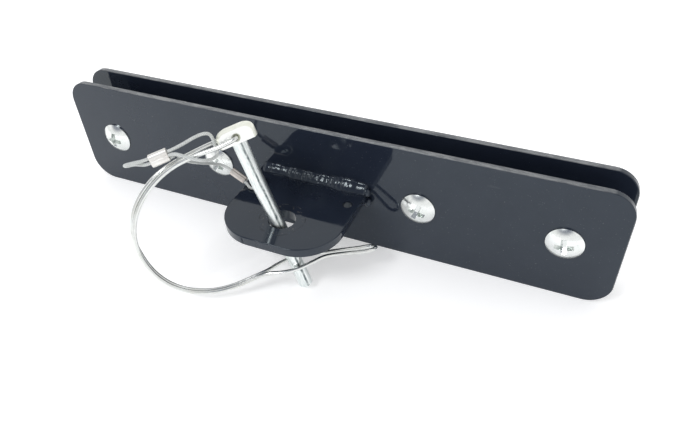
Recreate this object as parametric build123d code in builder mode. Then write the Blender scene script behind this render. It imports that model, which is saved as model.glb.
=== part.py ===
from build123d import *
import os
import math

# Clamp-on receiver bracket with a captive wire-lock pin.
# Frame: X along the bars, +Y from the front bar towards the back bar, +Z up.
# Origin: bottom edge of the front bar, at mid length and mid thickness.
# All sizes in millimetres.

# ---------------------------------------------------------------- driving sizes
BAR_LENGTH = 304.8          # 12 in
BAR_HEIGHT = 65.0
BAR_THICK = 3.175           # 1/8 in
BAR_CORNER = 12.7           # 1/2 in corner radius
BAR_EDGE = 0.45             # broken edge under the paint
GAP = 13.75                 # clear space between the bars
SCREW_X = (-127.0, -57.15, 57.15, 127.0)   # 10 in and 4-1/2 in apart
SCREW_TURN = (82.0, 61.0, 70.0, 10.0)      # how far each cross recess is turned, degrees
SCREW_R = 3.95              # 5/16 in thread crest
THREAD_PITCH = 1.411        # 18 threads per inch
THREAD_DEPTH = 0.62
SCREW_HOLE_R = 4.35
SCREW_LENGTH = 31.75        # under the head, 1-1/4 in
HEAD_R = 8.7                # truss head
HEAD_H = 4.0
HEAD_RIM = 0.75
WASHER_R = 8.7
WASHER_T = 1.6
NUT_FLATS = 12.7            # 1/2 in across flats
NUT_H = 6.6
NUT_COLLAR_H = 2.6
NUT_BORE_R = 4.02

TAB_WIDTH = 60.7
TAB_DEPTH = 52.8
TAB_THICK = 4.76            # 3/16 in
TAB_TOP = 36.15
TAB_X = 0.4                 # the tab's middle, slightly off the bars' middle
TAB_CORNER = 21.0
PIN_HOLE = (0.7, 34.9)      # x, distance in front of the front bar's face
PIN_HOLE_R = 6.75
SMALL_HOLE = (25.4, 13.6)
SMALL_HOLE_R = 2.5
RIVET_HOLE = (-24.6, 14.2)
WELD_LEG = 4.6

PIN_R = 3.5
PIN_FOOT = -37.6            # along the pin, from where its axis crosses the tab's top face
PIN_SHOULDER = 42.8
PIN_HEAD_H = 6.5
PIN_HEAD_R = 9.1
PIN_CROWN = 3.0
PIN_FLAT = 5.0              # half the distance over the head's two flats
CROSS_HOLE_AT = 45.7
CROSS_HOLE_R = 1.08

WIRE_R = 1.0                # hoop spring wire
CABLE_R = 0.75               # coated lanyard cable
FERRULE_L = 8.4
FERRULE_H = 6.2
FERRULE_W = 3.6

FRONT = -BAR_THICK / 2      # the front bar's front face
REAR = BAR_THICK / 2        # its back face, against which a panel is clamped
MID_Z = BAR_HEIGHT / 2
TAB_UNDER = TAB_TOP - TAB_THICK

os.makedirs("parts", exist_ok=True)


def save(builder, name):
    builder.part.label = name
    export_step(builder.part, f"parts/{name}.step")


# ---------------------------------------------------------------- the two bars
def bar(front_y):
    with BuildPart() as piece:
        with BuildSketch(Plane(origin=(0, front_y, MID_Z), x_dir=(1, 0, 0), z_dir=(0, -1, 0))):
            RectangleRounded(BAR_LENGTH, BAR_HEIGHT, BAR_CORNER)
            with Locations(*[(x, 0) for x in SCREW_X]):
                Circle(SCREW_HOLE_R, mode=Mode.SUBTRACT)
        extrude(amount=-BAR_THICK)
        rims = [e for e in piece.edges() if e.geom_type != GeomType.CIRCLE or e.radius > 10]
        rims = [e for e in rims if abs(e.length - BAR_THICK) > 1e-3]
        fillet(rims, BAR_EDGE)
    return piece


front_plate = bar(FRONT)
save(front_plate, "front_plate")
BACK_FRONT = REAR + GAP
BACK_REAR = BACK_FRONT + BAR_THICK
back_plate = bar(BACK_FRONT)
save(back_plate, "back_plate")

# ---------------------------------------------------------------- hitch tab, with its front corners rounded
with BuildPart() as hitch_tab:
    with BuildSketch(Plane.XY.offset(TAB_TOP)) as outline:
        with Locations((TAB_X, FRONT - TAB_DEPTH / 2)):
            Rectangle(TAB_WIDTH, TAB_DEPTH)
        fillet(outline.vertices().group_by(Axis.Y)[0], TAB_CORNER)
        with Locations((PIN_HOLE[0], FRONT - PIN_HOLE[1])):
            Circle(PIN_HOLE_R, mode=Mode.SUBTRACT)
        with Locations((SMALL_HOLE[0], FRONT - SMALL_HOLE[1]), (RIVET_HOLE[0], FRONT - RIVET_HOLE[1])):
            Circle(SMALL_HOLE_R, mode=Mode.SUBTRACT)
    extrude(amount=-TAB_THICK)
    rims = [
        e
        for e in hitch_tab.edges()
        if e.center().Y < FRONT - 0.5
        and not (e.geom_type == GeomType.CIRCLE and e.radius < 10)
        and abs(e.length - TAB_THICK) > 1e-3
    ]
    fillet(rims, 0.5)
save(hitch_tab, "hitch_tab")


# ---------------------------------------------------------------- fillet welds along the tab, above and below
def weld(z, way, x0, x1):
    n = WELD_LEG * 0.60
    with BuildPart() as bead:
        with BuildSketch(Plane(origin=(x0, FRONT, z), x_dir=(0, -1, 0), z_dir=(1, 0, 0))):
            with BuildLine():
                Line((0, 0), (WELD_LEG, 0))
                ThreePointArc((WELD_LEG, 0), (n, -way * n), (0, -way * WELD_LEG))
                Line((0, -way * WELD_LEG), (0, 0))
            make_face()
        extrude(amount=x1 - x0)
    return bead


tab_left = TAB_X - TAB_WIDTH / 2
tab_right = TAB_X + TAB_WIDTH / 2
weld_top = weld(TAB_TOP, 1, tab_left + 1.2, tab_right - 0.3)
save(weld_top, "weld_top")
weld_bottom = weld(TAB_UNDER, -1, tab_left + 2.0, tab_right - 0.6)
save(weld_bottom, "weld_bottom")


# ---------------------------------------------------------------- truss-head machine screws with a cross recess
def cross(a, b):
    return [(b, b), (a, b), (a, -b), (b, -b), (b, -a), (-b, -a), (-b, -b), (-a, -b), (-a, b), (-b, b), (-b, a), (b, a)]


def screw(x, turn):
    dome = HEAD_H - HEAD_RIM
    ball = (HEAD_R**2 + dome**2) / (2 * dome)
    mid = HEAD_R * 0.55
    mid_y = -HEAD_H + ball - math.sqrt(ball**2 - mid**2)
    pts = [(HEAD_R, -HEAD_RIM), (HEAD_R, 0), (SCREW_R, 0), (SCREW_R, 4.4)]
    y = 4.4
    while y + THREAD_PITCH < SCREW_LENGTH - 1.6:
        pts += [(SCREW_R, y + 0.2), (SCREW_R - THREAD_DEPTH, y + THREAD_PITCH * 0.55), (SCREW_R, y + THREAD_PITCH * 0.9)]
        y += THREAD_PITCH
    pts += [(SCREW_R, SCREW_LENGTH - 1.0), (SCREW_R - 0.9, SCREW_LENGTH), (0, SCREW_LENGTH), (0, -HEAD_H)]
    a = math.radians(turn)
    across = (math.cos(a), 0, math.sin(a))
    with BuildPart() as piece:
        with BuildSketch(Plane(origin=(x, FRONT, MID_Z), x_dir=(1, 0, 0), z_dir=(0, 0, 1))):
            with BuildLine():
                ThreePointArc((0, -HEAD_H), (mid, mid_y), (HEAD_R, -HEAD_RIM))
                Polyline(*pts)
            make_face()
        revolve(axis=Axis((x, FRONT, MID_Z), (0, 1, 0)))
        with BuildSketch(Plane(origin=(x, FRONT - HEAD_H - 0.6, MID_Z), x_dir=across, z_dir=(0, -1, 0))):
            Polygon(*cross(5.9, 1.45), align=None)
        with BuildSketch(Plane(origin=(x, FRONT - HEAD_H + 3.1, MID_Z), x_dir=across, z_dir=(0, -1, 0))):
            Polygon(*cross(1.9, 0.8), align=None)
        loft(ruled=True, mode=Mode.SUBTRACT)
    return piece


SIDES = ("left_outer", "left_inner", "right_inner", "right_outer")
for x, turn, side in zip(SCREW_X, SCREW_TURN, SIDES):
    save(screw(x, turn), f"screw_{side}")


# ---------------------------------------------------------------- flat washers and collared lock nuts behind the back bar
def washer(x):
    with BuildPart() as piece:
        with BuildSketch(Plane(origin=(x, BACK_REAR, MID_Z), x_dir=(1, 0, 0), z_dir=(0, -1, 0))):
            Circle(WASHER_R)
            Circle(SCREW_HOLE_R, mode=Mode.SUBTRACT)
        extrude(amount=-WASHER_T)
        chamfer([e for e in piece.edges() if e.geom_type == GeomType.CIRCLE and e.radius > 8], 0.25)
    return piece


def nut(x, turn):
    a = math.radians(turn)
    base = BACK_REAR + WASHER_T
    with BuildPart() as piece:
        with BuildSketch(Plane(origin=(x, base, MID_Z), x_dir=(math.cos(a), 0, math.sin(a)), z_dir=(0, -1, 0))):
            RegularPolygon(NUT_FLATS / 2, 6, major_radius=False)
        extrude(amount=-NUT_H)
        # the corners of the hexagon are turned down at both ends
        with BuildSketch(Plane(origin=(x, base, MID_Z), x_dir=(1, 0, 0), z_dir=(0, 0, 1))):
            with BuildLine():
                Polyline((0, 0), (6.55, 0), (7.5, 0.6), (7.5, NUT_H - 0.6), (6.55, NUT_H), (0, NUT_H), close=True)
            make_face()
        revolve(axis=Axis((x, base, MID_Z), (0, 1, 0)), mode=Mode.INTERSECT)
        # the round collar that holds the nylon ring
        with BuildSketch(Plane(origin=(x, base, MID_Z), x_dir=(1, 0, 0), z_dir=(0, 0, 1))):
            with BuildLine():
                Polyline((NUT_BORE_R, 0.0), (5.9, 0.0), (5.9, NUT_H + NUT_COLLAR_H - 0.8), (5.2, NUT_H + NUT_COLLAR_H),
                         (4.9, NUT_H + NUT_COLLAR_H), (4.9, NUT_H + NUT_COLLAR_H - 0.5), (5.35, NUT_H + NUT_COLLAR_H - 0.5),
                         (5.35, NUT_H + 0.15), (NUT_BORE_R, NUT_H + 0.15), close=True)
            make_face()
        revolve(axis=Axis((x, base, MID_Z), (0, 1, 0)))
        with BuildSketch(Plane(origin=(x, base, MID_Z), x_dir=(1, 0, 0), z_dir=(0, -1, 0))):
            Circle(NUT_BORE_R)
        extrude(amount=-(NUT_H + NUT_COLLAR_H), mode=Mode.SUBTRACT)
    return piece


for x, turn, side in zip(SCREW_X, (8.0, 40.0, 21.0, 52.0), SIDES):
    save(washer(x), f"washer_{side}")
    save(nut(x, turn), f"nut_{side}")

# the nylon ring inside each nut's collar, one node for the four identical rings
with BuildPart() as nylon_rings:
    for x in SCREW_X:
        with BuildSketch(Plane(origin=(x, BACK_REAR + WASHER_T + NUT_H + 0.15, MID_Z), x_dir=(1, 0, 0), z_dir=(0, -1, 0))):
            Circle(5.35)
            Circle(NUT_BORE_R, mode=Mode.SUBTRACT)
        extrude(amount=-(NUT_COLLAR_H - 0.65))
save(nylon_rings, "nylon_rings")

# ---------------------------------------------------------------- lock pin: it leans in its loose hole, its foot just above the ground
D = Vector(-0.3842, 0.0895, 0.9189).normalized()      # up the pin
A = Vector(-1.12, FRONT - 36.88, TAB_TOP)             # where its axis crosses the tab's top face
tip_guess = Vector(39.2, FRONT - 17.0, 14.4)          # where the hoop's finger end lies
to_tip = tip_guess - A
H = (to_tip - D * to_tip.dot(D)).normalized()         # across the pin, in the hoop's plane
N = H.cross(D).normalized()                           # along the pin's cross hole
HOOP = Plane(origin=tuple(A), x_dir=tuple(H), z_dir=tuple(N))


def at(u, w, n=0.0):
    return A + H * u + D * w + N * n


with BuildPart() as lock_pin:
    top = PIN_SHOULDER + PIN_HEAD_H
    with BuildSketch(HOOP):
        with BuildLine():
            Polyline((0, PIN_FOOT), (PIN_R - 0.9, PIN_FOOT), (PIN_R, PIN_FOOT + 0.9), (PIN_R, PIN_SHOULDER + 0.3), (0, PIN_SHOULDER + 0.3), close=True)
        make_face()
    revolve(axis=Axis(tuple(A), tuple(D)))
    with BuildSketch(Plane(origin=tuple(at(0, PIN_SHOULDER)), x_dir=tuple(H), z_dir=tuple(D))):
        Circle(PIN_HEAD_R)
    extrude(amount=PIN_HEAD_H)
    crown = lock_pin.faces().sort_by(Axis(tuple(A), tuple(D)))[-1]
    fillet(crown.edges(), PIN_CROWN)
    for way in (1, -1):
        with BuildSketch(Plane(origin=tuple(at(0, 0, way * PIN_FLAT)), x_dir=tuple(H), z_dir=tuple(N))):
            with Locations((0, top - 3)):
                Rectangle(24, 12)
        extrude(amount=8 * way, mode=Mode.SUBTRACT)
    with BuildSketch(HOOP):
        with Locations((0, CROSS_HOLE_AT)):
            Circle(CROSS_HOLE_R)
    extrude(amount=8, both=True, mode=Mode.SUBTRACT)
    for way in (1, -1):
        with BuildSketch(Plane(origin=tuple(at(0, CROSS_HOLE_AT, way * (PIN_FLAT - 0.9))), x_dir=tuple(H), z_dir=tuple(N))):
            Circle(CROSS_HOLE_R)
        with BuildSketch(Plane(origin=tuple(at(0, CROSS_HOLE_AT, way * (PIN_FLAT + 0.1))), x_dir=tuple(H), z_dir=tuple(N))):
            Circle(2.05)
        loft(mode=Mode.SUBTRACT)
save(lock_pin, "lock_pin")

# ---------------------------------------------------------------- wire hoop: two strands side by side, hooked into the pin's cross hole
# (u across the pin, w up the pin, n along the cross hole, and how far the near strand lies inside the far one)
RIM = 1.12
UPPER = [
    (0, CROSS_HOLE_AT, 2.6, 0),
    (0, CROSS_HOLE_AT, 6.9, 0),
    (-8.5, 45.0, 6.35, 0),
    (-16.5, 45.2, 4.9, 0),
    (-24.0, 45.0, 3.1, 0.1),
    (-30.5, 44.4, 1.6, 0.4),
    (-37.0, 43.0, 0.9, 0.72),
    (-43.2, 40.6, 0.68, 0.85),
    (-49.4, 37.0, 0.68, 0.85),
    (-54.8, 32.6, 0.7, 0.82),
    (-59.0, 27.4, 0.82, 0.7),
    (-61.9, 21.8, 0.96, 0.5),
    (-63.4, 16.0, 1.06, 0.25),
    (-63.85, 10.0, RIM, 0),
]
FLEX = (-63.85, 9.6)        # where the lower half of the hoop bends away from the upper half
LOWER_COMMON = [
    (-63.8, 9.2),
    (-63.35, 3.6),
    (-61.9, -2.2),
    (-59.1, -8.0),
    (-54.7, -13.4),
    (-48.9, -17.7),
    (-42.0, -20.8),
    (-34.6, -22.4),
    (-26.9, -22.8),
    (-20.0, -22.6),
]
NEAR = [(-14.4, -22.9, 1.3), (-9.0, -24.1, 3.9), (-1.0, -25.4, 5.0), (7.5, -25.3, 4.7), (14.4, -26.2, 1.9),
        (24.0, -29.3, 2.2), (31.0, -31.9, 2.6), (36.6, -33.3, 2.6), (38.9, -33.8, 0.9)]
FAR = [(-14.4, -22.7, -1.3), (-9.4, -22.9, -3.9), (-1.5, -23.2, -5.0), (7.5, -24.4, -4.7), (14.4, -26.2, -1.9),
       (24.0, -29.3, -2.2), (31.0, -31.9, -2.6), (36.6, -33.3, -2.6), (38.9, -33.8, -0.9)]


def upper_route(way):
    """One strand from the cross hole to the flex point; the near strand (way 1) lies nearer the hoop's middle."""
    out = []
    for u, w, n, inward in UPPER:
        du, dw = -26.0 - u, 9.6 - w
        size = math.hypot(du, dw)
        out.append(at(u + way * inward * du / size, w + way * inward * dw / size, way * n))
    return out


def radii_of(points, share=0.45, cap=None):
    out = []
    for p, q, r in zip(points, points[1:], points[2:]):
        a, b = q - p, r - q
        half = math.radians(a.get_angle(b)) / 2
        rad = share * min(a.length, b.length) / math.tan(half)
        out.append(rad if cap is None else min(rad, cap))
    return out


def tube(points, r, radii):
    points = [Vector(p) for p in points]
    way = (points[1] - points[0]).normalized()
    side = way.cross(Vector(0.3, 0.5, 0.81)).normalized()
    with BuildPart() as piece:
        with BuildLine() as path:
            FilletPolyline(*[tuple(p) for p in points], radius=radii)
        with BuildSketch(Plane(origin=tuple(points[0]), x_dir=tuple(side), z_dir=tuple(way))):
            Circle(r)
        sweep()
    length = sum(e.length for e in path.edges())
    return piece, length


def report(name, piece, length, r, radii, points):
    print("route", name, [tuple(round(v, 3) for v in Vector(p)) for p in points])
    want = math.pi * r * r * length
    print(f"{name}: length {length:.1f} mm, volume {piece.part.volume:.2f} of {want:.2f}, radii " + " ".join(f"{x:.1f}" for x in radii))


strands = []
for way in (1, -1):
    pts = upper_route(way)
    rr = radii_of(pts)
    rr[0] = 1.25
    piece, length = tube(pts, WIRE_R, rr)
    report("hoop_upper strand", piece, length, WIRE_R, rr, pts)
    strands.append(piece.part)
with BuildPart() as hoop_upper:
    add(strands)
save(hoop_upper, "hoop_upper")

lower_pts = (
    [at(u, w, RIM) for u, w in LOWER_COMMON]
    + [at(*p) for p in NEAR]
    + [at(*p) for p in reversed(FAR)]
    + [at(u, w, -RIM) for u, w in reversed(LOWER_COMMON)]
)
rr = radii_of(lower_pts)
hoop_lower, length = tube(lower_pts, WIRE_R, rr)
report("hoop_lower", hoop_lower, length, WIRE_R, rr, lower_pts)
save(hoop_lower, "hoop_lower")

# ---------------------------------------------------------------- blind rivet that holds the lanyard's lower eye on the tab
RX, RY = RIVET_HOLE[0], FRONT - RIVET_HOLE[1]
FLANGE_Z = TAB_TOP + 2 * CABLE_R + 0.5
with BuildPart() as rivet:
    with BuildSketch(Plane(origin=(RX, RY, 0), x_dir=(1, 0, 0), z_dir=(0, -1, 0))):
        with BuildLine():
            Polyline((1.45, TAB_UNDER - 3.4), (2.9, TAB_UNDER - 3.4), (3.5, TAB_UNDER - 2.2), (3.3, TAB_UNDER - 0.6), (2.42, TAB_UNDER),
                     (2.42, FLANGE_Z), (4.6, FLANGE_Z), (4.6, FLANGE_Z + 0.45), (3.9, FLANGE_Z + 1.15), (1.9, FLANGE_Z + 1.5),
                     (1.45, FLANGE_Z + 1.5), close=True)
        make_face()
    revolve(axis=Axis((RX, RY, 0), (0, 0, 1)))
save(rivet, "rivet")

with BuildPart() as rivet_mandrel:
    with BuildSketch(Plane(origin=(RX, RY, 0), x_dir=(1, 0, 0), z_dir=(0, -1, 0))):
        with BuildLine():
            Polyline((0, TAB_UNDER - 5.4), (1.6, TAB_UNDER - 5.2), (2.2, TAB_UNDER - 4.3), (2.2, TAB_UNDER - 3.4), (1.45, TAB_UNDER - 3.4),
                     (1.45, TAB_TOP - 0.6), (0.9, TAB_TOP + 0.1), (0, TAB_TOP + 0.1), close=True)
        make_face()
    revolve(axis=Axis((RX, RY, 0), (0, 0, 1)))
save(rivet_mandrel, "rivet_mandrel")


# ---------------------------------------------------------------- lanyard: two crimped ferrules and the cable between them
def ferrule(middle, along, wide, length, height, width):
    along = along.normalized()
    wide = (wide - along * wide.dot(along)).normalized()
    with BuildPart() as piece:
        with BuildSketch(Plane(origin=tuple(middle - along * (length / 2)), x_dir=tuple(wide), z_dir=tuple(along))):
            RectangleRounded(height, width, width / 2 - 0.05)
            # the shallow waist between the ferrule's barrels
            with Locations((0, width / 2 + 0.42), (0, -width / 2 - 0.42)):
                Circle(0.7, mode=Mode.SUBTRACT)
        extrude(amount=length)
        chamfer([e for e in piece.edges() if abs(e.center().sub(middle).dot(along)) > length / 2 - 1e-3], 0.2)
    return piece


F1_AT = -34.7
F1_MID = at(F1_AT, 49.8, 0.6)
upper_ferrule = ferrule(F1_MID, H, D, FERRULE_L, FERRULE_H, FERRULE_W)
save(upper_ferrule, "upper_ferrule")


def on_f1(end, w, n=0.6):
    """A point on the upper ferrule's end face: end -1 is the turn-back side, +1 the pin side."""
    return at(F1_AT + end * FERRULE_L / 2, w, n)


F2_RIGHT = Vector(-30.1, FRONT - 16.3, 38.1)
F2_LEFT = Vector(-37.6, FRONT - 16.2, 42.3)
F2_MID = (F2_RIGHT + F2_LEFT) * 0.5
f2_way = (F2_LEFT - F2_RIGHT).normalized()
f2_len = (F2_LEFT - F2_RIGHT).length
lower_ferrule = ferrule(F2_MID, f2_way, Vector(0, 1, 0), f2_len, 4.4, 2.8)
save(lower_ferrule, "lower_ferrule")

# lower eye, loosely round the rivet's shank under its flange
EZ = TAB_TOP + CABLE_R + 0.22
side = Vector(0, 1, 0)
side = (side - f2_way * side.dot(f2_way)).normalized()
EYE_LOW = [
    F2_RIGHT + side * 0.95,
    F2_RIGHT + side * 0.95 - f2_way * 1.6,
    Vector(-27.5, FRONT - 11.2, EZ),
    Vector(-23.0, FRONT - 10.2, EZ),
    Vector(-20.5, FRONT - 13.8, EZ),
    Vector(-21.1, FRONT - 18.6, EZ),
    Vector(-25.2, FRONT - 20.5, EZ),
    F2_RIGHT - side * 0.95 - f2_way * 1.6,
    F2_RIGHT - side * 0.95,
]
rr = radii_of(EYE_LOW)
lanyard_lower_eye, length = tube(EYE_LOW, CABLE_R, rr)
report("lanyard_lower_eye", lanyard_lower_eye, length, CABLE_R, rr, EYE_LOW)
save(lanyard_lower_eye, "lanyard_lower_eye")

# the lead, from the lower ferrule up to the upper one, passing behind the hoop
LEAD = [
    F2_LEFT,
    F2_LEFT + f2_way * 5.0,
    Vector(-44.3, FRONT - 21.0, 48.2),
    Vector(-44.1, FRONT - 28.0, 53.2),
    Vector(-42.9, FRONT - 37.5, 60.4),
    at(-27.6, 43.6, -5.9),
    at(-28.2, 48.7, -4.3),
    on_f1(1, 47.9) + H * 1.9,
    on_f1(1, 47.9),
]
rr = radii_of(LEAD)
lanyard_lead, length = tube(LEAD, CABLE_R, rr)
report("lanyard_lead", lanyard_lead, length, CABLE_R, rr, LEAD)
save(lanyard_lead, "lanyard_lead")

# the tight turn-back on the finger side of the upper ferrule
TURN = [
    on_f1(-1, 49.0),
    on_f1(-1, 49.0) - H * 2.4,
    at(-45.2, 50.2, -0.3),
    at(-48.4, 51.7, -0.9),
    at(-50.4, 52.7, 0.6),
    at(-48.6, 52.9, 2.1),
    at(-45.2, 52.3, 1.6),
    on_f1(-1, 51.2) - H * 2.4,
    on_f1(-1, 51.2),
]
rr = radii_of(TURN)
lanyard_turnback, length = tube(TURN, CABLE_R, rr)
report("lanyard_turnback", lanyard_turnback, length, CABLE_R, rr, TURN)
save(lanyard_turnback, "lanyard_turnback")

# the upper eye, round both strands of the hoop beside the pin's head
EYE_UP = [
    on_f1(1, 50.9),
    on_f1(1, 50.9) + H * 2.2,
    at(-23.4, 51.2, 0.5),
    at(-15.6, 52.3, 0.4),
    at(-10.7, 51.6, 0.2),
    at(-9.8, 48.7, 0.1),
    at(-10.4, 45.2, 0.0),
    at(-10.4, 42.3, 0.1),
    at(-11.7, 40.3, 0.9),
    at(-15.2, 40.7, 3.6),
    at(-19.4, 43.6, 6.6),
    at(-24.2, 47.3, 4.6),
    on_f1(1, 49.4, 1.4) + H * 2.4,
    on_f1(1, 49.4, 1.4),
]
rr = radii_of(EYE_UP)
lanyard_upper_eye, length = tube(EYE_UP, CABLE_R, rr)
report("lanyard_upper_eye", lanyard_upper_eye, length, CABLE_R, rr, EYE_UP)
save(lanyard_upper_eye, "lanyard_upper_eye")

print("pin axis point", tuple(round(v, 4) for v in A))
print("D", tuple(round(v, 5) for v in D), "H", tuple(round(v, 5) for v in H), "N", tuple(round(v, 5) for v in N))
print("cross hole centre", tuple(round(v, 4) for v in at(0, CROSS_HOLE_AT)))
print("flex point", tuple(round(v, 4) for v in at(*FLEX)))
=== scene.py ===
import bpy
import bmesh
import math
import random
from mathutils import Vector, Matrix, noise


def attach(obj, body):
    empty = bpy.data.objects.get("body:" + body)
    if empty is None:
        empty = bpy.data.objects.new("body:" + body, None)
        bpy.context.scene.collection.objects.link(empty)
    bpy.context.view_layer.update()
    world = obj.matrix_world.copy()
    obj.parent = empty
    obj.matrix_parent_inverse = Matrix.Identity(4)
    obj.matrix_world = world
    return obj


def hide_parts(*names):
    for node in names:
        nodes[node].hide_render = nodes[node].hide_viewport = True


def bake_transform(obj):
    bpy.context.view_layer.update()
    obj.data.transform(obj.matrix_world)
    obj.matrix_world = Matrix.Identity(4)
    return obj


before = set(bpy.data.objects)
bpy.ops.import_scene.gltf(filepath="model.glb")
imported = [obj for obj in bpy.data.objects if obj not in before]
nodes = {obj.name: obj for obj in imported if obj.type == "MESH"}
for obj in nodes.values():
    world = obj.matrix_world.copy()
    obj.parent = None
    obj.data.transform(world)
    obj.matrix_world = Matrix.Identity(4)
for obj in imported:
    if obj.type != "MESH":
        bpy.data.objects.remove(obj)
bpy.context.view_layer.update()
scene = bpy.context.scene
MM = 0.001

# ---------------------------------------------------------------- camera
AZ, EL, ROLL = math.radians(25.009), math.radians(40.125), math.radians(-2.747)
back = Vector((math.sin(AZ) * math.cos(EL), -math.cos(AZ) * math.cos(EL), math.sin(EL)))
right = Vector((math.cos(AZ), math.sin(AZ), 0))
up = back.cross(right)
right2 = right * math.cos(ROLL) + up * math.sin(ROLL)
up2 = up * math.cos(ROLL) - right * math.sin(ROLL)
cam_data = bpy.data.cameras.new("camera")
cam_data.sensor_width = 36.0
cam_data.lens = 32.13
cam_data.clip_start = 0.01
cam_data.clip_end = 50
cam = bpy.data.objects.new("camera", cam_data)
scene.collection.objects.link(cam)
where = Vector((126.127, -228.655, 228.613)) * MM
cam.matrix_world = Matrix(
    (
        (right2.x, up2.x, back.x, where.x),
        (right2.y, up2.y, back.y, where.y),
        (right2.z, up2.z, back.z, where.z),
        (0, 0, 0, 1),
    )
)
scene.camera = cam

# ---------------------------------------------------------------- the same frame as the CAD
BAR_THICK = 3.175
FRONT = -BAR_THICK / 2
D = Vector((-0.3842, 0.0895, 0.9189)).normalized()
A = Vector((-1.12, FRONT - 36.88, 36.15))
to_tip = Vector((39.2, FRONT - 17.0, 14.4)) - A
H = (to_tip - D * to_tip.dot(D)).normalized()
N = H.cross(D).normalized()
TAB_TOP = 36.15
TAB_UNDER = TAB_TOP - 4.76
WIRE_R = 1.0
CABLE_R = 0.75


def at(u, w, n=0.0):
    return A + H * u + D * w + N * n


def link(obj):
    scene.collection.objects.link(obj)
    return obj


def line_of(name, points, closed=False):
    """The route's own NURBS spline, and the points along it in metres."""
    data = bpy.data.curves.new(name + "_line", "CURVE")
    data.dimensions = "3D"
    data.resolution_u = 40
    sp = data.splines.new("NURBS")
    sp.points.add(len(points) - 1)
    for p, q in zip(sp.points, points):
        p.co = (q[0] * MM, q[1] * MM, q[2] * MM, 1)
    sp.order_u = 3
    sp.use_endpoint_u = True
    obj = link(bpy.data.objects.new(name + "_line", data))
    bpy.context.view_layer.update()
    mesh = bpy.data.meshes.new_from_object(obj.evaluated_get(bpy.context.evaluated_depsgraph_get()))
    path = [v.co.copy() for v in mesh.vertices]
    bpy.data.objects.remove(obj)
    bpy.data.meshes.remove(mesh)
    return path


def even(path, step):
    """The same line, with its points evenly spaced."""
    gone = [0.0]
    for a, b in zip(path, path[1:]):
        gone.append(gone[-1] + (b - a).length)
    count = max(2, int(round(gone[-1] / step)))
    out, k = [], 0
    for i in range(count + 1):
        s = gone[-1] * i / count
        while k < len(path) - 2 and gone[k + 1] < s:
            k += 1
        t = (s - gone[k]) / max(1e-12, gone[k + 1] - gone[k])
        out.append(path[k].lerp(path[k + 1], min(1, max(0, t))))
    return out


def tube(name, path, radius, sides=20, profile=None, cap=True):
    """A mesh tube along a path in metres; profile(i, s, angle) scales the radius."""
    n = len(path)
    tangents = []
    for i in range(n):
        a, b = path[max(0, i - 1)], path[min(n - 1, i + 1)]
        tangents.append((b - a).normalized())
    side = tangents[0].orthogonal().normalized()
    bm = bmesh.new()
    uv = bm.loops.layers.uv.new("UVMap")
    rings, s, along = [], 0.0, []
    for i in range(n):
        if i:
            q = tangents[i - 1].rotation_difference(tangents[i])
            side = q @ side
            s += (path[i] - path[i - 1]).length
        side = (side - tangents[i] * side.dot(tangents[i])).normalized()
        other = tangents[i].cross(side)
        ring = []
        for k in range(sides):
            ang = 2 * math.pi * k / sides
            r = radius * (profile(i, s, ang) if profile else 1)
            ring.append(bm.verts.new(path[i] + (side * math.cos(ang) + other * math.sin(ang)) * r))
        rings.append(ring)
        along.append(s)
    for i in range(n - 1):
        for k in range(sides):
            f = bm.faces.new((rings[i][k], rings[i][(k + 1) % sides], rings[i + 1][(k + 1) % sides], rings[i + 1][k]))
            f.smooth = True
            us = (k / sides, (k + 1) / sides, (k + 1) / sides, k / sides)
            vs = (along[i], along[i], along[i + 1], along[i + 1])
            for loop, uu, vv in zip(f.loops, us, vs):
                loop[uv].uv = (uu, vv / (2 * math.pi * radius))
    if cap:
        bm.faces.new(list(reversed(rings[0])))
        bm.faces.new(rings[-1])
    mesh = bpy.data.meshes.new(name)
    bm.normal_update()
    bm.to_mesh(mesh)
    bm.free()
    return link(bpy.data.objects.new(name, mesh))


# ---------------------------------------------------------------- cords: the lanyard cable
F1_AT = -34.7
FERRULE_L = 8.4


def on_f1(end, w, n=0.6):
    return at(F1_AT + end * FERRULE_L / 2, w, n)


F2_RIGHT = Vector((-30.1, FRONT - 16.3, 38.1))
F2_LEFT = Vector((-37.6, FRONT - 16.2, 42.3))
f2_way = (F2_LEFT - F2_RIGHT).normalized()
EZ = TAB_TOP + CABLE_R + 0.22
side2 = Vector((0, 1, 0))
side2 = (side2 - f2_way * side2.dot(f2_way)).normalized()

LEAD = [
    F2_LEFT,
    F2_LEFT + f2_way * 5.0,
    Vector((-44.3, FRONT - 21.0, 48.2)),
    Vector((-44.1, FRONT - 28.0, 53.2)),
    Vector((-42.9, FRONT - 37.5, 60.4)),
    at(-27.6, 43.6, -5.9),
    at(-28.4, 47.8, -4.9),
    on_f1(1, 47.9) + H * 1.9,
    on_f1(1, 47.9),
]
EYE_UP = [
    on_f1(1, 50.9),
    on_f1(1, 50.9) + H * 2.2,
    at(-23.4, 51.2, 0.5),
    at(-15.6, 52.3, 0.4),
    at(-10.7, 51.6, 0.2),
    at(-9.8, 48.7, 0.1),
    at(-10.4, 45.2, 0.0),
    at(-10.4, 42.3, 0.1),
    at(-11.7, 40.3, 0.9),
    at(-15.2, 40.7, 3.6),
    at(-19.4, 43.6, 6.6),
    at(-24.2, 47.3, 4.6),
    on_f1(1, 49.4, 1.4) + H * 2.4,
    on_f1(1, 49.4, 1.4),
]
TURN = [
    on_f1(-1, 49.0) + H * 3.2,
    on_f1(-1, 49.0) - H * 2.4,
    at(-44.2, 50.2, -0.5),
    at(-46.4, 51.1, -1.2),
    at(-49.5, 51.5, -1.2),
    at(-49.6, 53.1, 2.4),
    at(-46.5, 52.7, 2.4),
    at(-44.2, 52.1, 1.7),
    on_f1(-1, 51.2) - H * 2.4,
    on_f1(-1, 51.2) + H * 3.2,
]
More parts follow.
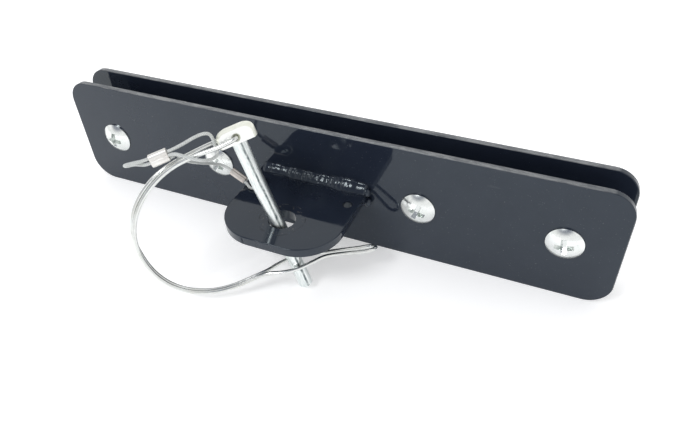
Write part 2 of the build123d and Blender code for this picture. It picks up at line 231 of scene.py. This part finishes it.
EYE_LOW = [
    F2_RIGHT + side2 * 0.95 + f2_way * 1.6,
    F2_RIGHT + side2 * 0.95 - f2_way * 1.6,
    Vector((-27.5, FRONT - 11.2, EZ)),
    Vector((-23.0, FRONT - 10.2, EZ)),
    Vector((-20.5, FRONT - 13.8, EZ)),
    Vector((-21.1, FRONT - 18.6, EZ)),
    Vector((-25.2, FRONT - 20.5, EZ)),
    F2_RIGHT - side2 * 0.95 - f2_way * 1.6,
    F2_RIGHT - side2 * 0.95 + f2_way * 1.6,
]


def cable_profile(i, s, ang):
    # strands of the wire rope show faintly through the coating
    return 1.0 + 0.022 * math.cos(6 * (ang + s / 0.0018 * 0.9))


def cable(name, points, body, cut=0):
    path = line_of(name, points)
    fine = even(path, 0.00035)
    obj = tube(name, fine, CABLE_R * MM, sides=24, profile=cable_profile)
    return obj


lead = cable("cable_lead", LEAD, None)
eye_up = cable("cable_upper_eye", EYE_UP, "pin")
turn = cable("cable_turnback", TURN, "pin")
eye_low = cable("cable_lower_eye", EYE_LOW, "bracket")
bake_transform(lead)
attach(eye_up, "pin")
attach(turn, "pin")
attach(eye_low, "bracket")
for obj, node in ((lead, "lanyard_lead"), (eye_up, "lanyard_upper_eye"), (turn, "lanyard_turnback"), (eye_low, "lanyard_lower_eye")):
    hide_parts(node)

# ---------------------------------------------------------------- the wire hoop, one bent wire
RIM = 1.12
UPPER = [
    (0, 45.7, 2.6, 0),
    (0, 45.7, 5.6, 0),
    (-0.2, 45.7, 6.9, 0),
    (-2.6, 45.5, 6.8, 0),
    (-8.5, 45.0, 6.35, 0),
    (-16.5, 45.2, 4.9, 0),
    (-24.0, 45.0, 3.1, 0.1),
    (-30.5, 44.4, 1.6, 0.4),
    (-37.0, 43.0, 0.9, 0.72),
    (-43.2, 40.6, 0.68, 0.85),
    (-49.4, 37.0, 0.68, 0.85),
    (-54.8, 32.6, 0.7, 0.82),
    (-59.0, 27.4, 0.82, 0.7),
    (-61.9, 21.8, 0.96, 0.5),
    (-63.4, 16.0, 1.06, 0.25),
    (-63.85, 10.0, RIM, 0),
]
LOWER_COMMON = [
    (-63.35, 3.6),
    (-61.9, -2.2),
    (-59.1, -8.0),
    (-54.7, -13.4),
    (-48.9, -17.7),
    (-42.0, -20.8),
    (-34.6, -22.4),
    (-26.9, -22.8),
    (-20.0, -22.6),
]
NEAR = [(-14.4, -22.9, 1.3), (-9.0, -24.1, 3.9), (-1.0, -25.4, 5.0), (7.5, -25.3, 4.7), (14.4, -26.2, 1.9),
        (24.0, -29.3, 2.2), (31.0, -31.9, 2.6), (36.6, -33.3, 2.6), (38.9, -33.8, 0.9)]
FAR = [(-14.4, -22.7, -1.3), (-9.4, -22.9, -3.9), (-1.5, -23.2, -5.0), (7.5, -24.4, -4.7), (14.4, -26.2, -1.9),
       (24.0, -29.3, -2.2), (31.0, -31.9, -2.6), (36.6, -33.3, -2.6), (38.9, -33.8, -0.9)]


def upper_route(way):
    out = []
    for u, w, n, inward in UPPER:
        du, dw = -26.0 - u, 9.6 - w
        size = math.hypot(du, dw)
        out.append(at(u + way * inward * du / size, w + way * inward * dw / size, way * n))
    return out


wire_points = (
    upper_route(1)
    + [at(u, w, RIM) for u, w in LOWER_COMMON]
    + [at(*p) for p in NEAR]
    + [at(*p) for p in reversed(FAR)]
    + [at(u, w, -RIM) for u, w in reversed(LOWER_COMMON)]
    + list(reversed(upper_route(-1)))
)
wire_path = even(line_of("hoop", wire_points), 0.0005)
hoop = tube("hoop_wire", wire_path, WIRE_R * MM, sides=24)
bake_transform(hoop)
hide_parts("hoop_upper", "hoop_lower")


# ---------------------------------------------------------------- weld beads: convex, lumpy, rippled
def bead(name, z, way, x0, x1, leg0, leg1, seed, blob):
    rng = random.Random(seed)
    count, k = 620, 36
    lumps, notches = [], []
    x = x0 + 1
    while x < x1:
        lumps.append((x, rng.uniform(-0.10, 0.09), rng.uniform(2.0, 4.2)))
        x += rng.uniform(3.0, 6.5)
    x = x0 + 2
    while x < x1:
        notches.append((x, rng.uniform(0.04, 0.22), rng.uniform(0.28, 0.5), rng.uniform(-0.5, 1.6)))
        x += rng.uniform(1.5, 4.2)
    bm = bmesh.new()
    rings = []
    for i in range(count + 1):
        t = i / count
        x = x0 + (x1 - x0) * t
        swell = 1 + sum(h * math.exp(-((x - c) / w) ** 2) for c, h, w in lumps)
        end = min(1.0, math.sqrt(max(0.0, 1 - (1 - min(1, (x - x0) / 2.4)) ** 2)), math.sqrt(max(0.0, 1 - (1 - min(1, (x1 - x) / 2.2)) ** 2)))
        rough = 0.5 + 0.5 * math.tanh((noise.noise(Vector((x * 0.12, seed * 1.7, 4))) + 0.12) * 9)
        ring = []
        for j in range(k + 1):
            a = math.pi / 2 * j / k
            belly = math.sin(2 * a)
            r = (leg0 + (leg1 - leg0) * t) * swell * (1 - 0.13 * belly)
            for c, deep, w, bow in notches:
                away = (x + bow * belly * 0.8 - c) / w
                if abs(away) < 3:
                    r -= deep * math.exp(-away * away) * (0.15 + 0.85 * belly)
            r += 0.13 * rough * noise.noise(Vector((x * 0.75, a * 1.9, seed * 3.1))) * belly
            r += 0.14 * noise.noise(Vector((x * 0.3, a * 1.2, seed * 5.1)))
            lip = 0.5 + 0.5 * math.tanh((noise.noise(Vector((x * 0.22, seed, 9.0))) + 0.10) * 8)
            r += 0.20 * (0.35 + 0.65 * lip) * (math.exp(-(((a - 1.40) / 0.075) ** 2)) + 0.6 * math.exp(-(((a - 0.16) / 0.07) ** 2)))
            r = max(0.25, r * (0.10 + 0.90 * end))
            y = FRONT + 0.12 - r * math.cos(a)
            zz = z - way * 0.12 + way * r * math.sin(a)
            ring.append(bm.verts.new(Vector((x, y, zz)) * MM))
        ring.append(bm.verts.new(Vector((x, FRONT + 0.12, z - way * 0.12)) * MM))
        rings.append(ring)
    m = len(rings[0])
    for a, b in zip(rings, rings[1:]):
        for j in range(m):
            f = bm.faces.new((a[j], a[(j + 1) % m], b[(j + 1) % m], b[j]))
            f.smooth = True
    bm.faces.new(rings[0])
    bm.faces.new(rings[-1])
    bmesh.ops.recalc_face_normals(bm, faces=bm.faces)
    # where the bead runs off the end of the tab it sags into a lump
    for (cx, cy, cz), (rx, ry, rz) in blob:
        new = bmesh.ops.create_icosphere(bm, subdivisions=4, radius=1.0)["verts"]
        for v in new:
            d = v.co.normalized()
            v.co = d * (1 + 0.10 * noise.noise(d * 1.6 + Vector((seed, cx, 0))))
            v.co = Vector((cx + v.co.x * rx, cy + v.co.y * ry, cz + v.co.z * rz)) * MM
        for f in {f for v in new for f in v.link_faces}:
            f.smooth = True
    mesh = bpy.data.meshes.new(name)
    bm.to_mesh(mesh)
    bm.free()
    return link(bpy.data.objects.new(name, mesh))


weld_a = bead("weld_bead_top", TAB_TOP, 1, -28.6, 31.4, 3.9, 4.9, 5, [((31.0, FRONT - 1.7, 36.3), (1.9, 2.2, 2.4))])
weld_b = bead("weld_bead_bottom", TAB_UNDER, -1, -27.8, 31.2, 4.5, 4.7, 11, [((31.3, FRONT - 1.8, 30.2), (1.9, 2.2, 2.3))])
for obj, node in ((weld_a, "weld_top"), (weld_b, "weld_bottom")):
    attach(obj, "bracket")
    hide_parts(node)


# ---------------------------------------------------------------- materials
class Nodes:
    def __init__(self, name):
        self.mat = bpy.data.materials.new(name)
        self.mat.use_nodes = True
        self.t = self.mat.node_tree
        self.b = self.t.nodes["Principled BSDF"]
        self.coord = self.add("ShaderNodeTexCoord")

    def add(self, kind, **values):
        n = self.t.nodes.new(kind)
        for key, v in values.items():
            setattr(n, key, v)
        return n

    def link(self, a, b):
        self.t.links.new(a, b)

    def noise(self, scale, detail=4, rough=0.55, vector=None, stretch=None):
        n = self.add("ShaderNodeTexNoise")
        n.inputs["Scale"].default_value = scale
        n.inputs["Detail"].default_value = detail
        n.inputs["Roughness"].default_value = rough
        src = vector or self.coord.outputs["Object"]
        if stretch:
            m = self.add("ShaderNodeMapping")
            m.inputs["Scale"].default_value = stretch
            self.link(src, m.inputs["Vector"])
            src = m.outputs["Vector"]
        self.link(src, n.inputs["Vector"])
        return n.outputs["Fac"]

    def ramp(self, fac, stops):
        r = self.add("ShaderNodeValToRGB")
        el = r.color_ramp.elements
        while len(el) < len(stops):
            el.new(0.5)
        for e, (pos, col) in zip(el, stops):
            e.position = pos
            e.color = (*col, 1) if len(col) == 3 else col
        self.link(fac, r.inputs["Fac"])
        return r.outputs["Color"]

    def range(self, fac, a, b, c, d):
        m = self.add("ShaderNodeMapRange")
        m.inputs["From Min"].default_value = a
        m.inputs["From Max"].default_value = b
        m.inputs["To Min"].default_value = c
        m.inputs["To Max"].default_value = d
        self.link(fac, m.inputs["Value"])
        return m.outputs["Result"]

    def math(self, op, a, b=None):
        m = self.add("ShaderNodeMath", operation=op)
        for i, v in enumerate((a, b)):
            if v is None:
                continue
            if isinstance(v, (int, float)):
                m.inputs[i].default_value = v
            else:
                self.link(v, m.inputs[i])
        return m.outputs[0]

    def mix(self, fac, a, b):
        m = self.add("ShaderNodeMix", data_type="RGBA")
        for i, v in ((0, fac), (6, a), (7, b)):
            if isinstance(v, (int, float)):
                m.inputs[i].default_value = v
            elif isinstance(v, tuple):
                m.inputs[i].default_value = (*v, 1)
            else:
                self.link(v, m.inputs[i])
        return m.outputs[2]

    def bump(self, height, strength, distance):
        b = self.add("ShaderNodeBump")
        b.inputs["Strength"].default_value = strength
        b.inputs["Distance"].default_value = distance
        self.link(height, b.inputs["Height"])
        self.link(b.outputs["Normal"], self.b.inputs["Normal"])
        return b

    def set(self, **values):
        for k, v in values.items():
            self.b.inputs[k.replace("_", " ")].default_value = v


def black_paint(name, worn=True, lumpy=0.0, ring=None, soft=0.0):
    m = Nodes(name)
    m.set(Metallic=0.0, IOR=1.5, Specular_Tint=(0.86, 0.96, 1.0, 1))
    fine = m.noise(900, 3)
    broad = m.noise(55, 5, 0.6)
    base = m.mix(m.range(broad, 0.35, 0.75, 0, 1), (0.0130, 0.0175, 0.0290), (0.0165, 0.0215, 0.0340))
    rough = m.math("ADD", m.range(broad, 0.3, 0.75, 0.03 + soft, 0.075 + soft), m.range(fine, 0.3, 0.7, -0.008, 0.010))
    scratch = m.range(m.noise(210, 3, 0.5, stretch=(0.12, 1.0, 1.6)), 0.70, 0.735, 0, 1)
    scratch = m.math("MULTIPLY", scratch, m.range(m.noise(38, 2), 0.52, 0.66, 0, 0.45))
    height = m.math("ADD", m.noise(260, 2, 0.4), m.math("MULTIPLY", fine, 0.15))
    if worn:
        sep = m.add("ShaderNodeSeparateXYZ")
        m.link(m.coord.outputs["Object"], sep.inputs[0])
        top = m.range(sep.outputs["Z"], 0.06465, 0.06495, 0, 1)
        flat = m.math("ABSOLUTE", sep.outputs["X"])
        ends = m.range(flat, 0.15185, 0.15225, 0, 1)
        low = m.range(sep.outputs["Z"], 0.0004, 0.0001, 0, 1)
        edge = m.math("MAXIMUM", m.math("MAXIMUM", top, ends), low)
        patch = m.range(m.noise(300, 7, 0.75, stretch=(0.22, 1, 1)), 0.40, 0.62, 0.28, 1)
        wear = m.math("MULTIPLY", edge, patch)
        base = m.mix(wear, base, (0.235, 0.240, 0.245))
        rough = m.math("ADD", rough, m.math("MULTIPLY", wear, 0.30))
        specks = m.range(m.noise(1500, 2, 0.5), 0.715, 0.745, 0, 0.55)
        base = m.mix(specks, base, (0.12, 0.12, 0.125))
        base = m.mix(scratch, base, (0.075, 0.080, 0.088))
        rough = m.math("ADD", rough, m.math("MULTIPLY", scratch, 0.25))
    if ring:
        cx, cy, r = ring
        v = m.add("ShaderNodeVectorMath", operation="SUBTRACT")
        m.link(m.coord.outputs["Object"], v.inputs[0])
        v.inputs[1].default_value = (cx, cy, 0)
        flatten = m.add("ShaderNodeVectorMath", operation="MULTIPLY")
        m.link(v.outputs["Vector"], flatten.inputs[0])
        flatten.inputs[1].default_value = (1, 1, 0)
        size = m.add("ShaderNodeVectorMath", operation="LENGTH")
        m.link(flatten.outputs["Vector"], size.inputs[0])
        wander = m.math("ADD", size.outputs["Value"], m.range(m.noise(160, 3), 0.3, 0.7, -0.0007, 0.0007))
        off = m.math("ABSOLUTE", m.math("SUBTRACT", wander, r))
        line = m.range(off, 0.00012, 0.00042, 1, 0)
        broken = m.range(m.noise(230, 4, 0.6), 0.44, 0.56, 0, 1)
        line = m.math("MULTIPLY", line, broken)
        base = m.mix(m.math("MULTIPLY", line, 0.8), base, (0.004, 0.005, 0.009))
        rough = m.math("ADD", rough, m.math("MULTIPLY", line, 0.35))
        rub = m.range(m.math("ABSOLUTE", m.math("SUBTRACT", wander, r * 0.86)), 0.0002, 0.0012, 1, 0)
        chips = m.math("MULTIPLY", rub, m.range(m.noise(700, 3, 0.6), 0.60, 0.68, 0, 0.8))
        base = m.mix(chips, base, (0.17, 0.155, 0.13))
        height = m.math("SUBTRACT", height, m.math("MULTIPLY", line, 0.8))
    m.link(base, m.b.inputs["Base Color"])
    m.link(rough, m.b.inputs["Roughness"])
    m.bump(height, 0.05 + lumpy, 0.0002)
    return m.mat


def metal(name, colour, dark, rough_lo, rough_hi, stretch=(1, 1, 1), scale=600, bump=0.15, tint=None):
    m = Nodes(name)
    m.set(Metallic=1.0)
    grain = m.noise(scale, 5, 0.6, stretch=stretch)
    cloud = m.noise(140, 4, 0.55)
    base = m.mix(m.range(cloud, 0.35, 0.7, 0, 1), colour, dark)
    base = m.mix(m.range(grain, 0.55, 0.8, 0, 0.35), base, tuple(c * 0.6 for c in dark))
    if tint:
        base = m.mix(m.range(m.noise(45, 3), 0.42, 0.62, 0, 0.8), base, tint)
    m.link(base, m.b.inputs["Base Color"])
    m.link(m.range(m.math("ADD", grain, cloud), 0.7, 1.3, rough_lo, rough_hi), m.b.inputs["Roughness"])
    m.bump(grain, bump, 0.0001)
    return m.mat


def pin_material():
    """Zinc with drawing marks along the shank; the pressed head is duller and a little yellow. Painted light as well: a
    dark painted reflection streak down the front of the shank, painted shade on its left side, and a painted highlight
    on the head's flat faces.
    """
    m = Nodes("pin_zinc")
    m.set(Metallic=1.0)
    along = []
    for way in (H, N, D):
        d = m.add("ShaderNodeVectorMath", operation="DOT_PRODUCT")
        m.link(m.coord.outputs["Object"], d.inputs[0])
        d.inputs[1].default_value = way
        along.append(m.math("SUBTRACT", d.outputs["Value"], float((A * MM).dot(way))))
    h, n, w = along
    both = m.add("ShaderNodeCombineXYZ")
    m.link(h, both.inputs[0])
    m.link(n, both.inputs[1])
    m.link(m.math("MULTIPLY", w, 0.16), both.inputs[2])
    marks = m.noise(1500, 5, 0.65, vector=both.outputs["Vector"])
    mottle = m.noise(420, 5, 0.6)
    head = m.range(w, 0.0426, 0.0429, 0, 1)
    shank = m.math("SUBTRACT", 1.0, head)
    base = m.mix(m.range(marks, 0.40, 0.68, 0, 0.9), (0.90, 0.93, 0.92), (0.62, 0.68, 0.67))
    # painted shade: the left side of the pin (negative h) is mixed a little darker
    base = m.mix(m.range(h, -0.0032, 0.0006, 0.12, 0.0), base, (0.62, 0.70, 0.69))
    # painted reflection: a dark streak down the front of the shank, standing in for the dark plate and ceiling it
    # reflects
    wobble = m.range(m.noise(190, 3), 0.3, 0.7, -0.00022, 0.00022)
    off = m.math("ABSOLUTE", m.math("SUBTRACT", m.math("ADD", h, wobble), 0.00085))
    painted_reflection_streak = m.math("MULTIPLY", m.range(off, 0.00018, 0.00070, 1, 0), m.range(n, 0.0006, 0.0016, 0, 1))
    painted_reflection_streak = m.math("MULTIPLY", m.math("MULTIPLY", painted_reflection_streak, shank), m.range(m.noise(330, 5, 0.7), 0.34, 0.56, 0.40, 1.0))
    base = m.mix(painted_reflection_streak, base, (0.09, 0.12, 0.13))
    base = m.mix(m.range(mottle, 0.60, 0.74, 0, 0.45), base, (0.50, 0.55, 0.53))
    head_tint_and_highlight = m.mix(m.range(mottle, 0.40, 0.66, 0, 1), (0.87, 0.88, 0.80), (0.78, 0.79, 0.70))
    # painted highlight: the head's flat front and back faces are mixed towards near-white; the rest is the head's own
    # yellowish tint
    flat = m.range(m.math("ABSOLUTE", n), 0.0048, 0.00497, 0, 1)
    head_tint_and_highlight = m.mix(m.math("MULTIPLY", flat, 0.85), head_tint_and_highlight, (0.97, 0.985, 0.975))
    base = m.mix(head, base, head_tint_and_highlight)
    m.link(base, m.b.inputs["Base Color"])
    rough = m.math("ADD", m.range(marks, 0.35, 0.70, 0.27, 0.42), m.math("MULTIPLY", head, 0.04))
    m.link(m.math("ADD", rough, m.math("MULTIPLY", painted_reflection_streak, 0.12)), m.b.inputs["Roughness"])
    m.bump(m.math("ADD", marks, m.math("MULTIPLY", mottle, 0.4)), 0.10, 0.0001)
    return m.mat


paint = black_paint("gloss_black_paint")
tab_paint = black_paint("gloss_black_paint_tab", ring=(0.0007, (FRONT - 34.9) * MM, 0.0112))
paint_weld = black_paint("gloss_black_paint_weld", worn=False, lumpy=0.03, soft=0.11)
zinc = metal("zinc_plate", (0.88, 0.90, 0.89), (0.74, 0.77, 0.75), 0.14, 0.26, scale=900)
pin_zinc = pin_material()
wire_mat = metal("spring_wire", (0.76, 0.78, 0.77), (0.66, 0.67, 0.64), 0.20, 0.28, scale=260, bump=0.0)
ferrule_mat = metal("ferrule_aluminium", (0.86, 0.85, 0.82), (0.70, 0.68, 0.65), 0.34, 0.52, scale=900, bump=0.3)
# painted shade: a darker, browner copy of the ferrule aluminium, given to the lower ferrule
ferrule_shaded = metal("ferrule_aluminium_painted_shade", (0.70, 0.65, 0.61), (0.50, 0.46, 0.43), 0.34, 0.50, scale=900, bump=0.3)


def cable_material():
    m = Nodes("cable_coating")
    uvs = m.coord.outputs["UV"]
    m.set(Metallic=0.0, IOR=1.46)
    wave = m.add("ShaderNodeTexWave", wave_type="BANDS", bands_direction="DIAGONAL")
    wave.inputs["Scale"].default_value = 3.0
    wave.inputs["Distortion"].default_value = 0.4
    m.link(uvs, wave.inputs["Vector"])
    grime = m.noise(300, 4)
    base = m.mix(m.range(wave.outputs["Fac"], 0.2, 0.9, 0, 1), (0.47, 0.49, 0.48), (0.64, 0.66, 0.65))
    base = m.mix(m.range(grime, 0.5, 0.75, 0, 0.5), base, (0.38, 0.39, 0.38))
    m.link(base, m.b.inputs["Base Color"])
    m.link(m.range(grime, 0.3, 0.7, 0.28, 0.45), m.b.inputs["Roughness"])
    m.bump(wave.outputs["Fac"], 0.35, 0.00015)
    return m.mat


def nylon_material():
    m = Nodes("nylon_white")
    m.set(IOR=1.5)
    n = m.noise(500, 3)
    m.link(m.mix(m.range(n, 0.3, 0.7, 0, 1), (0.74, 0.77, 0.80), (0.82, 0.84, 0.86)), m.b.inputs["Base Color"])
    m.link(m.range(n, 0.3, 0.7, 0.4, 0.55), m.b.inputs["Roughness"])
    m.bump(n, 0.1, 0.0001)
    return m.mat


cable_mat = cable_material()
nylon = nylon_material()
rivet_mat = black_paint("rivet_gloss_black", worn=False)


def give(obj, mat):
    obj.data.materials.clear()
    obj.data.materials.append(mat)


for name, obj in nodes.items():
    if name in ("front_plate", "back_plate"):
        give(obj, paint)
    elif name == "hitch_tab":
        give(obj, tab_paint)
    elif name.startswith(("screw", "washer", "nut")):
        give(obj, zinc)
    elif name == "nylon_rings":
        give(obj, nylon)
    elif name == "rivet":
        give(obj, rivet_mat)
    elif name == "rivet_mandrel":
        give(obj, wire_mat)
    elif name.endswith("ferrule"):
        give(obj, ferrule_shaded if name == "lower_ferrule" else ferrule_mat)
    elif name == "lock_pin":
        give(obj, pin_zinc)
    elif name.startswith("hoop"):
        give(obj, wire_mat)
    elif name.startswith("lanyard"):
        give(obj, cable_mat)
    elif name.startswith("weld"):
        give(obj, paint_weld)
for obj in (lead, eye_up, turn, eye_low):
    give(obj, cable_mat)
give(hoop, wire_mat)
give(weld_a, paint_weld)
give(weld_b, paint_weld)

# ---------------------------------------------------------------- floor, light
scene.view_settings.view_transform = "Standard"
bpy.ops.mesh.primitive_plane_add(size=8, location=(0, 0, -0.00002))
floor = bpy.context.object
floor.name = "floor"
fm = Nodes("floor_pale")
n = fm.noise(3, 2)
fm.link(fm.mix(n, (0.92, 0.92, 0.92), (0.95, 0.95, 0.95)), fm.b.inputs["Base Color"])
fm.set(Roughness=0.8)
fm.b.inputs["Specular IOR Level"].default_value = 0.1
fm.b.inputs["Emission Color"].default_value = (1.0, 1.0, 1.0, 1)
fm.b.inputs["Emission Strength"].default_value = 0.36
give(floor, fm.mat)

# a white room behind and beside the object, darker above and behind the camera
world = bpy.data.worlds.new("studio")
scene.world = world
world.use_nodes = True
wt = world.node_tree
bg = wt.nodes["Background"]
geo = wt.nodes.new("ShaderNodeTexCoord")
dot = wt.nodes.new("ShaderNodeVectorMath"); dot.operation = "DOT_PRODUCT"
dark_way = Vector((-0.20, -0.55, 0.80)).normalized()
dot.inputs[1].default_value = dark_way
wt.links.new(geo.outputs["Generated"], dot.inputs[0])
mr = wt.nodes.new("ShaderNodeMapRange")
mr.interpolation_type = "SMOOTHSTEP"
mr.inputs["From Min"].default_value = 0.70
mr.inputs["From Max"].default_value = 0.92
mr.inputs["To Min"].default_value = 0.0
mr.inputs["To Max"].default_value = 1.0
wt.links.new(dot.outputs["Value"], mr.inputs["Value"])
mix = wt.nodes.new("ShaderNodeMix"); mix.data_type = "RGBA"
mix.inputs[6].default_value = (1.0, 1.0, 1.0, 1)
mix.inputs[7].default_value = (0.17, 0.19, 0.24, 1)
wt.links.new(mr.outputs["Result"], mix.inputs[0])
wt.links.new(mix.outputs[2], bg.inputs["Color"])
bg.inputs["Strength"].default_value = 1.0


def area(name, loc, target, size, power):
    data = bpy.data.lights.new(name, "AREA")
    data.shape = "RECTANGLE"
    data.size, data.size_y = size
    data.energy = power
    obj = link(bpy.data.objects.new(name, data))
    obj.location = loc
    obj.rotation_mode = "QUATERNION"
    obj.rotation_quaternion = (Vector(target) - Vector(loc)).to_track_quat("-Z", "Y")
    return obj


area("key", (-0.38, -0.80, 1.05), (0, 0, 0), (0.46, 0.26), 5.6)
